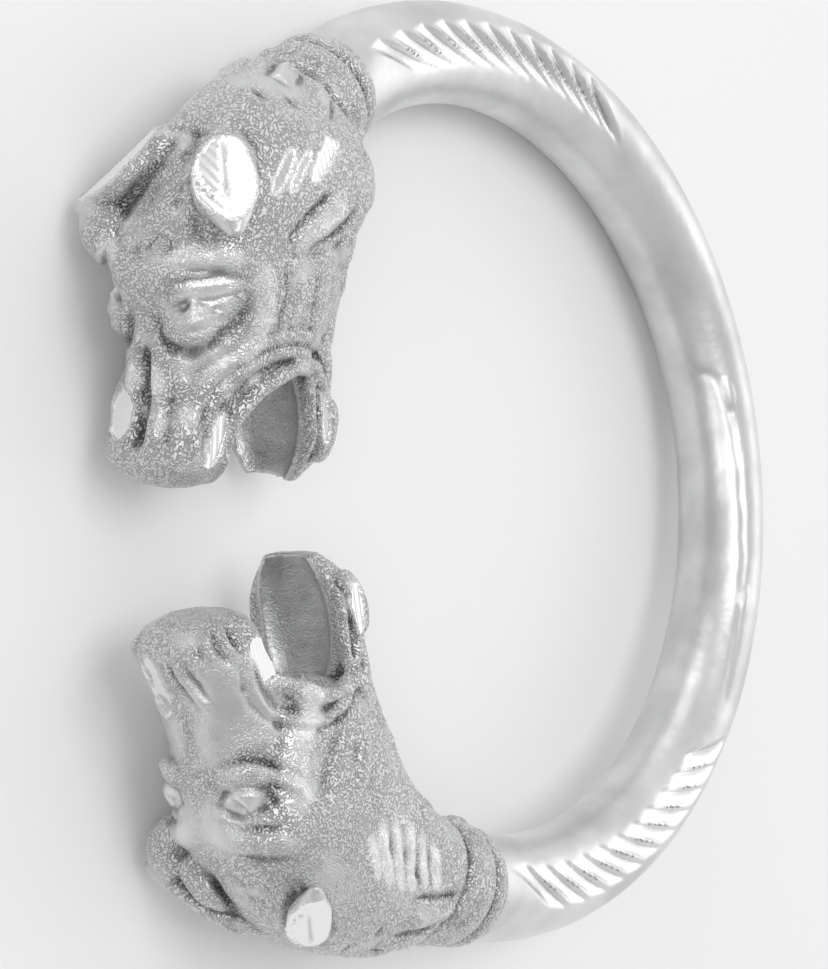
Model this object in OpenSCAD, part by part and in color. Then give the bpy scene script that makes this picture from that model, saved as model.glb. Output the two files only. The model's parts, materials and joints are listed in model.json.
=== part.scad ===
// An open silver bangle that ends in two beast heads, mouth to mouth.
// It lies on its side as it rests by itself: Z is up, the gap between the heads faces -Y,
// and the origin is on the surface, below the middle of the hoop.

/* [Hoop] */
// Clear width across the inside of the hoop
inner_d = 60; // [54:1:68]
// Thickness of the bar at the back of the hoop
back_d = 7.8; // [6:0.1:9]
// Thickness of the bar where it enters a collar
root_d = 8.7; // [7.5:0.1:9.2]
// Gap between the tips of the two lower jaws
gap = 5; // [3:0.5:10]

/* [Cut flutes] */
// Number of slanted cuts along each shoulder of each arm
flute_count = 11; // [3:1:14]
// Distance along the bar from one cut to the next
flute_pitch = 2.7; // [2.2:0.1:3.2]
// Depth of a cut
flute_depth = 0.4; // [0.2:0.05:0.7]
// Distance from the collar to the first cut
flute_start = 8.4; // [5:0.2:10]

/* [Collar] */
// Thickness over the collar's rims
collar_d = 10.2; // [9.8:0.1:11.4]
// Width of the band between the middles of its two rims
collar_w = 3.4; // [2.6:0.1:4]
// Thickness of a rim's bead
rim_d = 1; // [0.8:0.1:1.5]
// Number of oval bosses round the band
boss_count = 12; // [6:1:14]

/* [Neck] */
// Length of the neck along the hoop, from the collar to the root of the head
neck_l = 15.8; // [14:0.2:18]
// Thickness of a lock of the mane
lock_d = 1.8; // [1.2:0.1:2.4]

/* [Head] */
// Length of a head from its root to the tip of the lower jaw
head_l = 17.5; // [15:0.5:20]
// Height of a head from the throat to the brow, and half as much for the snout
head_h = 21; // [18:0.5:23]
// Width that a head's sections are shares of
head_w = 15; // [13:0.5:17]
// Thickness of the rolled lip round the mouth
lip_d = 1.7; // [1.2:0.1:2.2]
// Thickness of the brow's ridge
brow_d = 2.6; // [2:0.1:3.2]
// Thickness of an eyelid and of a fold on the snout
fold_d = 1.3; // [0.9:0.1:1.6]
// How far the tip of an ear stands out of the head
ear_lift = 3; // [1.5:0.1:3.6]
// Width of an ear across its middle
ear_w = 4.2; // [3.4:0.1:4.8]

/* [Hidden] */

SILVER = [0.86, 0.87, 0.88];
MM_TO_DEG = 360 / (PI * (inner_d + back_d));
HOOP_R = (inner_d + back_d) / 2;
ROOT_ANGLE = asin((gap / 2 + head_l) / HOOP_R);
COLLAR_ANGLE = ROOT_ANGLE + neck_l * MM_TO_DEG;
ROOT_SPOT = HOOP_R * [sin(ROOT_ANGLE), -cos(ROOT_ANGLE), 0];
BAR_SIDES = 18;
BAR_STEPS = 38;
BODY_SIDES = 20;
JAW_SIDES = 16;
STRAND_SIDES = 5;

// How each head is set on its neck: side of the gap, nose up, nose towards +Z, and its
// shift outwards and along Z
SIDE = 0;
PITCH = 1;
YAW = 2;
RISE = 3;
SHIFT = 4;
HEADS = [
    [1, 3, 4.5, 0.3, -0.6],
    [-1, -2, -14.5, -1.7, 1.2]
];

// Helpers
function mix(a, b, t) = a + (b - a) * t;
function ease(t) = let (c = min(1, max(0, t))) c * c * (3 - 2 * c);
function bend(v, e) = sign(v) * pow(abs(v), e);
function unit(v) = v / norm(v);
function turn_up(v, a) = [v.x * cos(a) - v.y * sin(a), v.x * sin(a) + v.y * cos(a), v.z];
function turn_aside(v, a) = [v.x * cos(a) - v.z * sin(a), v.y, v.x * sin(a) + v.z * cos(a)];

// A closed skin over a list of rings that all have the same number of points
module skin(rings) {
    sides = len(rings[0]);
    last = (len(rings) - 1) * sides;
    polyhedron(
        points = [for (r = rings, p = r) p],
        faces = concat(
            [[for (i = [0 : sides - 1]) i]],
            [for (k = [0 : len(rings) - 2], i = [0 : sides - 1])
                let (a = k * sides + i, b = k * sides + (i + 1) % sides)
                [b, a, a + sides, b + sides]],
            [[for (i = [sides - 1 : -1 : 0]) last + i]]
        ),
        convexity = 8
    );
}

// A strand along a path, thick in the middle and thin at both ends. Its path runs mostly
// across the direction named flat
module strand(path, d, flat) {
    n = len(path) - 1;
    skin([for (i = [0 : n])
        let (
            dir = unit(path[min(i + 1, n)] - path[max(i - 1, 0)]),
            side = unit(cross(dir, flat)),
            rise = cross(side, dir),
            r = d / 2 * (0.3 + 0.7 * sin(180 * i / n))
        )
        [for (k = [0 : STRAND_SIDES - 1])
            path[i] + r * (rise * cos(360 * k / STRAND_SIDES) + side * sin(360 * k / STRAND_SIDES))]
    ]);
}

module egg(spot, half, facets = 8) {
    translate(spot) scale(half) sphere(1, $fn = facets);
}

// The bar, from one collar round the back of the hoop to the other
BAR_REACH = 180 - COLLAR_ANGLE;
function bar_d(angle) = mix(back_d, root_d, pow(abs(angle) / BAR_REACH, 1.5));

BAR_END = BAR_REACH + 0.3 * collar_w * MM_TO_DEG;
module bar() {
    skin([for (k = [0 : BAR_STEPS])
        let (a = mix(-BAR_END, BAR_END, k / BAR_STEPS), out = [sin(a), cos(a), 0])
        [for (i = [0 : BAR_SIDES - 1])
            let (b = 360 * i / BAR_SIDES)
            HOOP_R * out + bar_d(a) / 2 * (out * cos(b) + [0, 0, sin(b)])]
    ]);
}

// One slanted flat cut on a shoulder of the bar, above or below the hoop's middle plane
FLUTE_LEAN = 90;
FLUTE_SLANT = 56;
FLUTE_W = 0.84 * flute_pitch * cos(FLUTE_SLANT);
module flute(angle, face) {
    r = bar_d(angle) / 2;
    rotate(-angle) translate([0, HOOP_R, 0])
        rotate([face * FLUTE_LEAN, 0, 0])
        translate([0, r - flute_depth, 0])
        rotate([0, face * FLUTE_SLANT, 0])
        translate([-FLUTE_W / 2, 0, -1.5 * r])
        cube([FLUTE_W, r, 3 * r]);
}

module flutes() {
    for (side = [-1, 1], face = [-1, 1], k = [0 : flute_count - 1])
        flute(side * (BAR_REACH - (flute_start + k * flute_pitch) * MM_TO_DEG), face);
}

// The collar: a band with a rim on each edge and a row of oval bosses between them
BAND_R = collar_d / 2 - rim_d * 0.6;
module collar(side) {
    rotate(side * COLLAR_ANGLE) translate([0, -HOOP_R, 0]) rotate([0, 90, 0]) {
        cylinder(h = collar_w, r = BAND_R, center = true, $fn = 22);
        for (k = [-1, 1])
            translate([0, 0, k * collar_w / 2])
            rotate_extrude($fn = 22)
            translate([(collar_d - rim_d) / 2, 0])
            circle(d = rim_d, $fn = 6);
        for (i = [0 : boss_count - 1])
            rotate(360 * (i + 0.5) / boss_count)
            egg([BAND_R, 0, 0], [0.45 * rim_d, 0.28 * PI * BAND_R * 2 / boss_count, 0.24 * collar_w], 5);
    }
}

// Each head is drawn from its root, with X along the snout, Y up out of the brow and Z across

// Sections from the collar to the nose. A station is -1 at the collar, 0 at the root and 1 at
// the tip of the jaw. The other columns are shares of head_h, but WIDE is one of head_w, and
// SQUARE is 2 for an ellipse and more for a boxier outline
STATION = 0;
MID = 1;
UP = 2;
DOWN = 3;
WIDE = 4;
SQUARE = 5;
BODY = [
    [-1.00, 0.000, 0.42, 0.30, 0.42, 2.0],
    [-0.82, 0.000, 0.46, 0.25, 0.42, 2.1],
    [-0.65, 0.000, 0.51, 0.24, 0.43, 2.3],
    [-0.47, 0.000, 0.57, 0.25, 0.45, 2.6],
    [-0.29, 0.000, 0.57, 0.26, 0.47, 2.8],
    [-0.14, 0.000, 0.56, 0.31, 0.46, 2.6],
    [0.00, 0.000, 0.55, 0.36, 0.45, 2.4],
    [0.12, 0.000, 0.54, 0.35, 0.43, 2.2],
    [0.28, 0.030, 0.50, 0.32, 0.40, 2.2],
    [0.42, 0.100, 0.43, 0.30, 0.37, 2.4],
    [0.53, 0.240, 0.30, 0.24, 0.33, 2.6],
    [0.66, 0.370, 0.20, 0.15, 0.31, 2.6],
    [0.78, 0.400, 0.20, 0.15, 0.30, 2.6],
    [0.86, 0.400, 0.16, 0.13, 0.25, 2.5],
    [0.90, 0.400, 0.10, 0.09, 0.17, 2.3]
];
JAW = [
    [0.05, -0.210, 0.11, 0.12, 0.34, 2.3],
    [0.30, -0.160, 0.11, 0.12, 0.33, 2.3],
    [0.50, -0.140, 0.09, 0.10, 0.31, 2.4],
    [0.66, -0.145, 0.09, 0.11, 0.30, 2.4],
    [0.78, -0.150, 0.09, 0.13, 0.31, 2.5],
    [0.90, -0.125, 0.07, 0.11, 0.25, 2.5],
    [1.00, -0.100, 0.04, 0.06, 0.16, 2.4]
];

// A section's row at any station, read between the rows of the table
function row_at(station, table, i = 0) =
    i >= len(table) - 2 || station <= table[i + 1][STATION]
        ? mix(table[i], table[i + 1],
            (station - table[i][STATION]) / (table[i + 1][STATION] - table[i][STATION]))
        : row_at(station, table, i + 1);

// Near the collar the sections shrink to fit inside its band, whatever the table says
function grown(size, station) =
    station >= 0 ? size : mix(size, BAND_R - 0.3 * rim_d, pow(-station, 2.3));

// The point at an angle round a section, 0 on the crest and 90 on the +Z side, lifted out.
// Behind the root the sections follow the hoop and lean with it
function section_point(row, angle, lift) =
    let (
        back = -min(0, row[STATION]),
        a = ROOT_ANGLE + back * neck_l * MM_TO_DEG,
        lean = a * ease(back / 0.88),
        spot = back > 0
            ? HOOP_R * [sin(ROOT_ANGLE) - sin(a), cos(a) - cos(ROOT_ANGLE), 0]
            : [row[STATION] * head_l, row[MID] * head_h, 0],
        c = bend(cos(angle), 2 / row[SQUARE]),
        s = bend(sin(angle), 2 / row[SQUARE]),
        tall = grown((c > 0 ? row[UP] : row[DOWN]) * head_h, row[STATION]) + lift,
        wide = grown(row[WIDE] * head_w, row[STATION]) + lift
    )
    spot + tall * c * [-sin(lean), cos(lean), 0] + [0, 0, wide * s];

// A head's own tilt grows along the neck, so that the collar stays square on the bar
function held(station) = 1 - ease((-station - 0.45) / 0.55);
function posed(p, head, w) =
    turn_aside(turn_up(p, w * head[PITCH]), w * head[YAW]) + w * [0, head[RISE], head[SHIFT]];
function body_point(head, station, angle, lift = 0) =
    posed(section_point(row_at(station, BODY), angle, lift), head, held(station));
function jaw_point(head, station, angle, lift = 0) =
    posed(section_point(row_at(station, JAW), angle, lift), head, 1);

function body_rings(head) =
    [for (row = BODY) [for (i = [0 : BODY_SIDES - 1])
        body_point(head, row[STATION], 360 * i / BODY_SIDES)]];
function jaw_rings(head) =
    [for (row = JAW) [for (i = [0 : JAW_SIDES - 1])
        jaw_point(head, row[STATION], 360 * i / JAW_SIDES)]];

// The open mouth runs through from cheek to cheek, from its corner to past the snout
MOUTH_CORNER = [0.64, 0.125, 0.145];
MOUTH_FRONT = [1.25, 0.14, 0.165];
module mouth(head) {
    pose(head) hull() for (m = [MOUTH_CORNER, MOUTH_FRONT])
        translate([m[0] * head_l, m[1] * head_h, 0])
        cylinder(h = 2 * head_w, r = m[2] * head_h, center = true, $fn = 24);
}

// The hollow of the lower jaw, like the bowl of a spoon
JAW_HOLLOW_AT = [0.72, -0.06];
JAW_HOLLOW = [0.34, 0.09, 0.22];
module jaw_hollow(head) {
    pose(head) egg(
        [JAW_HOLLOW_AT.x * head_l, JAW_HOLLOW_AT.y * head_h, 0],
        [JAW_HOLLOW.x * head_l, JAW_HOLLOW.y * head_h, JAW_HOLLOW.z * head_w], 20);
}

module pose(head) {
    translate([0, head[RISE], head[SHIFT]])
        rotate([0, -head[YAW], 0])
        rotate([0, 0, head[PITCH]])
        children();
}

// Raised forms of one side of a head, each a path of station, angle round the section and
// lift. The other side has the opposite angles
BROW = [[0.17, 10, -0.2], [0.06, 24, 0.2], [-0.03, 42, 0.4], [-0.04, 60, 0], [0.02, 76, -0.4]];
UPPER_LID = [[0.17, 22, -0.3], [0.10, 36, 0.2], [0.07, 50, 0.2], [0.09, 64, -0.2]];
LOWER_LID = [[0.23, 18, -0.2], [0.27, 32, 0.1], [0.24, 48, 0.2], [0.14, 62, 0]];
FOLDS = [
    [[0.60, 22, -0.4], [0.74, 24, 0.1], [0.87, 28, -0.2]],
    [[0.58, 48, -0.4], [0.74, 50, 0.1], [0.87, 54, -0.2]],
    [[0.56, 76, -0.4], [0.72, 78, 0.1], [0.86, 80, -0.2]]
];
LIP_ABOVE = [[0.86, 106, -0.3], [0.74, 104, -0.1], [0.62, 98, -0.1], [0.53, 92, 0], [0.46, 98, 0.1], [0.44, 110, 0.2]];
LIP_BELOW = [[0.49, 68, 0.3], [0.60, 64, 0.2], [0.74, 66, 0.1]];
LOCKS = [
    [[-0.90, 24, -0.9], [-0.76, 22, -0.1], [-0.54, 18, -0.6]],
    [[-0.90, 54, -0.9], [-0.76, 50, -0.1], [-0.54, 43, -0.5]],
    [[-0.90, 92, -0.9], [-0.72, 86, -0.1], [-0.44, 78, -0.5]],
    [[-0.86, 130, -0.9], [-0.70, 118, -0.4], [-0.40, 104, -0.6]]
];
EYE = [0.15, 38, -1.0];
CHEEK = [0.30, 40, -1.0];
CURL = [-0.03, 104, -0.9];
CHIN = [0.78, 96, -0.8];
CHIN_SIZE = [0.85, 0.62, 0.46] * brow_d;
EYE_SIZE = [0.65, 0.85, 0.85] * brow_d;
CHEEK_SIZE = [1, 0.85, 0.85] * brow_d;
CURL_SIZE = [0.85, 1, 0.54] * brow_d;
EAR_ROOT = [-0.51, 16, -1.1];
EAR_MIDDLE = [-0.35, 31, 0.6];
EAR_TIP = [-0.21, 44];
EAR_ROOT_R = 0.21 * ear_w;
EAR_TIP_R = 0.26 * ear_w;

module side_forms(head, side) {
    body = function (v) body_point(head, v[0], side * v[1], v[2]);
    low = function (v) jaw_point(head, v[0], side * v[1], v[2]);
    across = [1, 0, 0];
    along = [0, 0, 1];
    strand([for (v = BROW) body(v)], brow_d, across);
    for (lid = [UPPER_LID, LOWER_LID]) strand([for (v = lid) body(v)], fold_d, across);
    for (fold = FOLDS) strand([for (v = fold) body(v)], fold_d, along);
    for (lock = LOCKS) strand([for (v = lock) body(v)], lock_d, along);
    strand(concat([for (v = LIP_ABOVE) body(v)], [for (v = LIP_BELOW) low(v)]), lip_d, along);
    egg(body(EYE), EYE_SIZE);
    egg(body(CHEEK), CHEEK_SIZE);
    egg(body(CURL), CURL_SIZE);
    egg(low(CHIN), CHIN_SIZE);
    hull() {
        egg(body(EAR_ROOT), EAR_ROOT_R * [1, 1, 1]);
        egg(body(EAR_MIDDLE), ear_w / 2 * [1, 1, 1]);
        egg(ear_tip(head, side), EAR_TIP_R * [1, 1, 1]);
    }
}

function ear_tip(head, side) =
    body_point(head, EAR_TIP[0], side * EAR_TIP[1], ear_lift);

module head(head) {
    mirror([head[SIDE] > 0 ? 0 : 1, 0, 0]) translate(ROOT_SPOT) rotate(180) {
        difference() {
            union() {
                skin(body_rings(head));
                skin(jaw_rings(head));
            }
            mouth(head);
            jaw_hollow(head);
        }
        for (side = [-1, 1]) side_forms(head, side);
    }
}

// The bangle settles on its underside with its balance point as low as it can be. The tilt
// is searched for in ever smaller steps, as the slope of Z along X and along Y
BALANCE = [0, -0.28 * HOOP_R, 0];
FIRST_STEP = 0.05;
LAST_STEP = 0.0001;
function in_hoop(p, head) =
    let (q = ROOT_SPOT + [-p.x, -p.y, p.z]) [head[SIDE] * q.x, q.y, q.z];
function head_underside(head) = [
    for (ring = concat(body_rings(head), jaw_rings(head)), p = ring)
        if (p.z < -back_d / 2) in_hoop(p, head),
    in_hoop(ear_tip(head, -1), head) - [0, 0, EAR_TIP_R],
    in_hoop(jaw_point(head, CHIN[0], -CHIN[1], CHIN[2] + CHIN_SIZE.z), head)
];
BAR_UNDERSIDE = [for (a = [-BAR_REACH : 5 : BAR_REACH])
    [HOOP_R * sin(a), HOOP_R * cos(a), -bar_d(a) / 2]];
UNDERSIDE = concat(BAR_UNDERSIDE, [for (head = HEADS, p = head_underside(head)) p]);
function up_at(tilt) = unit([tilt.x, tilt.y, 1]);
function lift_at(up) = -min([for (p = UNDERSIDE) p * up]);
function balance_height(tilt) = BALANCE * up_at(tilt) + lift_at(up_at(tilt));
function settled(tilt, step) = step < LAST_STEP ? tilt :
    let (
        tries = [for (a = [0 : 15 : 345]) tilt + step * [cos(a), sin(a)]],
        heights = [for (t = tries) balance_height(t)],
        best = min(heights)
    )
    best < balance_height(tilt)
        ? settled(tries[search(best, heights)[0]], step)
        : settled(tilt, step / 2);
REST_UP = up_at(settled([0, 0], FIRST_STEP));
REST_LIFT = lift_at(REST_UP);

module kada() {
    color(SILVER)
    translate([0, 0, REST_LIFT])
    rotate(a = acos(REST_UP.z), v = cross(REST_UP, [0, 0, 1])) {
        difference() {
            bar();
            flutes();
        }
        for (head = HEADS) head(head);
        for (side = [-1, 1]) collar(side);
    }
}

kada();
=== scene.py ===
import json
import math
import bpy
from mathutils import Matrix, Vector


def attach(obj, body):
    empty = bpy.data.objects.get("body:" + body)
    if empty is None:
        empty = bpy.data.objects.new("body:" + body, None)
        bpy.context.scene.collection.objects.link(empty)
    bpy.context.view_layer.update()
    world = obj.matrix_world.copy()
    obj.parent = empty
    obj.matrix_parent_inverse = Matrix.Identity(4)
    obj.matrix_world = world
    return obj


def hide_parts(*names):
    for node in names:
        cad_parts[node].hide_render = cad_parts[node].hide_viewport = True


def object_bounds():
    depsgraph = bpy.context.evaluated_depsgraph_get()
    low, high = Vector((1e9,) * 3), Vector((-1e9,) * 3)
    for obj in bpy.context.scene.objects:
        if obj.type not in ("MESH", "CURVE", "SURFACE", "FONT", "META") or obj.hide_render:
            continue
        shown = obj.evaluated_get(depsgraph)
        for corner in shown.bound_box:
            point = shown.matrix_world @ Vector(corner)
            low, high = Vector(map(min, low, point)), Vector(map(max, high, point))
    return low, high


bl_info = {
    "name": "Kada bangle",
    "version": (1, 0, 0),
    "blender": (4, 5, 0),
    "location": "3D View > Sidebar > Kada",
    "description": "Models an open silver bangle that ends in two beast heads",
    "category": "Add Mesh",
}

import bpy
import numpy as np
from mathutils import Matrix, Vector

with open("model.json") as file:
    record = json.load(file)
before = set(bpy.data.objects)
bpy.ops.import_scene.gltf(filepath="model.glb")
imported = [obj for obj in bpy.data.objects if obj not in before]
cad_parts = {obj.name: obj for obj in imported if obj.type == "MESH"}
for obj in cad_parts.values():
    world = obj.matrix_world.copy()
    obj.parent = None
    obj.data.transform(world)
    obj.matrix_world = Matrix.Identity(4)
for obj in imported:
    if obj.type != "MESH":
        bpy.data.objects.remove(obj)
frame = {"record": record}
CAD_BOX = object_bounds()

# The bangle is modelled in millimetres with the hoop flat round Z and the gap towards -Y,
# then laid down as it rests. The wrist's axis in the record says how far it leans
WRIST_AXIS = frame["record"]["mounts"][0]["axis"]
REST_UP = Vector((-WRIST_AXIS[0], -WRIST_AXIS[1], WRIST_AXIS[2]))
REST_TURN = REST_UP.rotation_difference(Vector((0, 0, 1))).to_matrix().to_4x4()
REST_LIFT = 6.481
MM = 0.001


# Sizes and colours that a user would change

def size(name, what, default, **limits):
    """A size that the sidebar shows in mm"""
    return bpy.props.FloatProperty(name=name, description=what + ", in mm", default=default, **limits)


def number(name, what, default, least):
    """How many there are of a form that repeats"""
    return bpy.props.IntProperty(name=name, description=what, default=default, min=least)


def colour(name, what, default):
    return bpy.props.FloatVectorProperty(
        name=name, description=what, subtype="COLOR", size=3, default=default, min=0.0, max=1.0)


def roughness(name, what, default):
    return bpy.props.FloatProperty(name=name, description=what, subtype="FACTOR", default=default)


class KadaHoopSizes(bpy.types.PropertyGroup):
    """Sizes of the hoop and of its cut flutes"""
    inner: size("Inside width", "Clear width across the hoop", 60.0)
    back: size("Bar at the back", "Thickness of the bar at the back", 7.8)
    root: size("Bar at a collar", "Thickness of the bar at a collar", 8.7)
    gap: size("Gap", "Gap between the lower jaws", 5.0)
    flutes: number("Flutes", "Cuts along each shoulder of each arm", 11, 1)
    flute_pitch: size("Flute pitch", "Distance from one cut to the next", 2.7)
    flute_start: size("First flute", "Distance from the collar to the first cut", 8.4)
    flute_depth: size("Flute depth", "Depth of a cut", 0.5)


class KadaHeadSizes(bpy.types.PropertyGroup):
    """Sizes of the heads, necks and collars"""
    length: size("Head length", "From the root to the tip of the lower jaw", 17.5)
    height: size("Head height", "From the throat to the brow", 21.0)
    width: size("Head width", "Width that the sections are shares of", 15.0)
    neck: size("Neck length", "From the collar to the root of the head", 15.8)
    collar: size("Collar", "Thickness over the collar", 10.2)
    collar_width: size("Collar width", "Width of the collar's band", 3.4)
    bosses: number("Bosses", "Oval bosses round a collar", 12, 3)
    ear: size("Ear width", "Width of an ear across its middle", 4.2)
    grain: size("Sculpting grain", "Size of the facets a head is sculpted in", 0.2, min=0.15)


class KadaFinish(bpy.types.PropertyGroup):
    """Colours and finishes of the silver"""
    silver: colour("Silver", "Colour of the clean silver", (0.9, 0.905, 0.91))
    frosted: colour("Frosted silver", "Colour of the frosted skin", (0.68, 0.685, 0.69))
    dark: colour("Dark silver", "Colour of the silver in the hollows", (0.12, 0.12, 0.125))
    frost: roughness("Frost", "Roughness of the cast skin", 0.5)
    cut: roughness("Mirror cut", "Roughness of a polished cut", 0.1)


class KadaStageLook(bpy.types.PropertyGroup):
    """Floor and light of the studio"""
    floor: colour("Floor", "Colour of the floor", (0.94, 0.94, 0.94))
    light: bpy.props.FloatProperty(
        name="Light", description="Strength of the soft lights", default=1.0, min=0.0)


# Sections of a head from the collar to the nose, as in the source of the part: station, middle,
# up and down as shares of the height, width as a share of the width, and squareness
BODY_ROWS = (
    (-1.00, 0.000, 0.42, 0.30, 0.42, 2.0),
    (-0.82, 0.000, 0.46, 0.25, 0.42, 2.1),
    (-0.65, 0.000, 0.51, 0.24, 0.43, 2.3),
    (-0.47, 0.000, 0.57, 0.25, 0.45, 2.6),
    (-0.29, 0.000, 0.57, 0.26, 0.47, 2.8),
    (-0.14, 0.000, 0.56, 0.31, 0.46, 2.6),
    (0.00, 0.000, 0.55, 0.36, 0.45, 2.4),
    (0.12, 0.000, 0.54, 0.35, 0.43, 2.2),
    (0.28, 0.030, 0.50, 0.32, 0.40, 2.2),
    (0.42, 0.100, 0.43, 0.30, 0.37, 2.4),
    (0.53, 0.240, 0.30, 0.24, 0.33, 2.6),
    (0.66, 0.370, 0.20, 0.15, 0.31, 2.6),
    (0.78, 0.400, 0.20, 0.15, 0.30, 2.6),
    (0.86, 0.400, 0.16, 0.13, 0.25, 2.5),
    (0.90, 0.400, 0.10, 0.09, 0.17, 2.3),
)
JAW_ROWS = (
    (0.05, -0.210, 0.11, 0.12, 0.34, 2.3),
    (0.30, -0.160, 0.11, 0.12, 0.33, 2.3),
    (0.50, -0.140, 0.09, 0.10, 0.31, 2.4),
    (0.66, -0.145, 0.09, 0.11, 0.30, 2.4),
    (0.78, -0.150, 0.09, 0.13, 0.31, 2.5),
    (0.90, -0.125, 0.07, 0.11, 0.25, 2.5),
    (1.00, -0.100, 0.04, 0.06, 0.16, 2.4),
)

# How a head is set on its neck: side of the gap, nose up and nose aside in degrees, and rise and
# shift in mm
HEADS = {
    "head_front": (1, 3.0, 4.5, 0.3, -0.6),
    "head_rear": (-1, -2.0, -14.5, -1.7, 1.2),
}

# Where the rings of a head's body and jaw stand, closer together at the nose, and their sides
BODY_STATIONS = np.unique(np.concatenate([np.linspace(-1, 0.86, 64), np.linspace(0.86, 0.9, 5)]))
BODY_SIDES = 72
JAW_STATIONS = np.linspace(0.05, 1.0, 34)
JAW_SIDES = 56

# How far the collar's beads stand out of its band, in mm, and the neck: how far its root stays
# inside that band, in mm, and how late it swells to it, as a power. Then, as shares of the neck
# from the head, where its sections have taken the bar's lean, and from where and over how much
# the head's own set fades
COLLAR_BEAD = 0.6
NECK_UNDER_BAND = 0.3
NECK_SWELL = 2.3
NECK_LEAN = 0.88
NECK_SET_FROM = 0.45
NECK_SET_OVER = 0.55

# The open mouth at its corner and past the nose: along as a share of the length, and up and radius
# as shares of the height
MOUTH = ((0.64, 0.125, 0.145), (1.25, 0.14, 0.165))

# The hollow of the lower jaw, as shares of length, height and width: where it is along and up, its
# half sizes along, up and across, and out to how many times these the skin is worn smooth
JAW_HOLLOW_AT = (0.72, -0.06)
JAW_HOLLOW = (0.34, 0.09, 0.22)
JAW_HOLLOW_WORN = 1.12

# Solid forms on both sides of a head: a path of station, angle and lift, half width across the
# skin and half height out of it, in mm
SOLID_FORMS = (
    (((0.17, 20, -0.8), (0.205, 26, -0.55), (0.21, 34, -0.45), (0.18, 44, -0.7)), 2.4, 1.4),
)

# Forms of the same kind on the side that faces down, where the outline is fuller
FAR_EAR_ROOT = (((-0.34, 36, 0.5), (-0.2, 42, 0.8), (-0.1, 40, 0.5), (-0.02, 37, -0.4)), 2.3, 2.3)
FAR_CROWN = (((-0.36, 20, -0.6), (-0.24, 24, -0.2), (-0.1, 26, -0.3)), 2.6, 1.6)
FAR_FORMS = {"head_rear": (FAR_EAR_ROOT,), "head_front": (FAR_EAR_ROOT, FAR_CROWN)}

# The rolled lip from the nose round the corner of the mouth to the tip of the jaw, first on the
# body and then on the jaw, and its half width
LIP_ABOVE = ((0.88, 104, -0.5), (0.80, 100, -0.2), (0.70, 98, -0.1), (0.62, 94, -0.05), (0.54, 91, 0.0),
             (0.48, 94, 0.05), (0.45, 102, 0.1))
LIP_BELOW = ((0.49, 66, 0.2), (0.58, 63, 0.15), (0.70, 64, 0.05), (0.82, 66, -0.15), (0.94, 70, -0.4))
LIP_HALF = 0.66

# Locks of the mane on the neck, and their half width and half height
LOCKS = (
    ((-0.84, 12, -0.9), (-0.68, 10, -0.3), (-0.50, 6, -0.7)),
    ((-0.86, 36, -0.9), (-0.72, 34, -0.25), (-0.56, 30, -0.7)),
    ((-0.86, 58, -0.9), (-0.72, 56, -0.25), (-0.58, 50, -0.7)),
    ((-0.84, 96, -0.9), (-0.66, 90, -0.3), (-0.44, 84, -0.7)),
    ((-0.82, 122, -0.9), (-0.64, 114, -0.3), (-0.42, 104, -0.7)),
)
LOCK_HALF = (1.15, 0.5)

# Root, middle and tip of an ear: station, angle, lift in mm and half width as a share of the
# ear's width. The near ear of the head in front is narrower
BROAD_EAR = ((-0.45, 13, -1.1, 0.28), (-0.31, 30, 0.55, 0.58), (-0.195, 43, 2.75, 0.22))
NARROW_EAR = ((-0.50, 10, -1.0, 0.2), (-0.36, 30, 0.55, 0.4), (-0.225, 46, 2.4, 0.14))
NEAR_EARS = {"head_rear": BROAD_EAR, "head_front": NARROW_EAR}
EAR_THICK = 0.7

# How the half width runs along an ear: places from its root at 0 over its middle at 1 to its tip at
# 2, and shares of the middle's half width between them
EAR_PLACES = (0, 0.5, 1, 1.4, 2)
EAR_SWELL = (0.86, 1, 0.94)

# The two cuts of an ear: how deep in mm, how far they turn towards the way out of the head, how
# far each leans from the middle line in radians, and their reach in mm
EAR_CUT_DEEP = 0.72
EAR_CUT_OUT = 0.42
EAR_CUT_LEAN = 0.13
EAR_CUT_REACH = (4.2, 4.2)

# The dull line between the two cuts: how far it runs back and forward from the ear's middle, and
# its half width, height and polish
EAR_LINE_BACK = 2.6
EAR_LINE_FORE = 2.2
EAR_LINE = (0.28, -0.1, -1.0)

# The beads on an ear's edge: how many, how long their row is and how far behind the ear's middle
# it starts, and the radius and height of one
EAR_BEADS = 9
EAR_BEADS_LONG = 5.0
EAR_BEADS_BACK = 3.0
EAR_BEAD = (0.42, 0.25)

# How far round its middle and its tip an ear is worn smooth
EAR_WORN = (3.4, 3.0)

# The oval boss on the side of the chin, on the jaw: station, angle and lift, and its half sizes
# along, out and across
CHIN = (0.78, 96, -0.55)
CHIN_HALF = (2.5, 1.0, 1.3)

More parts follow.
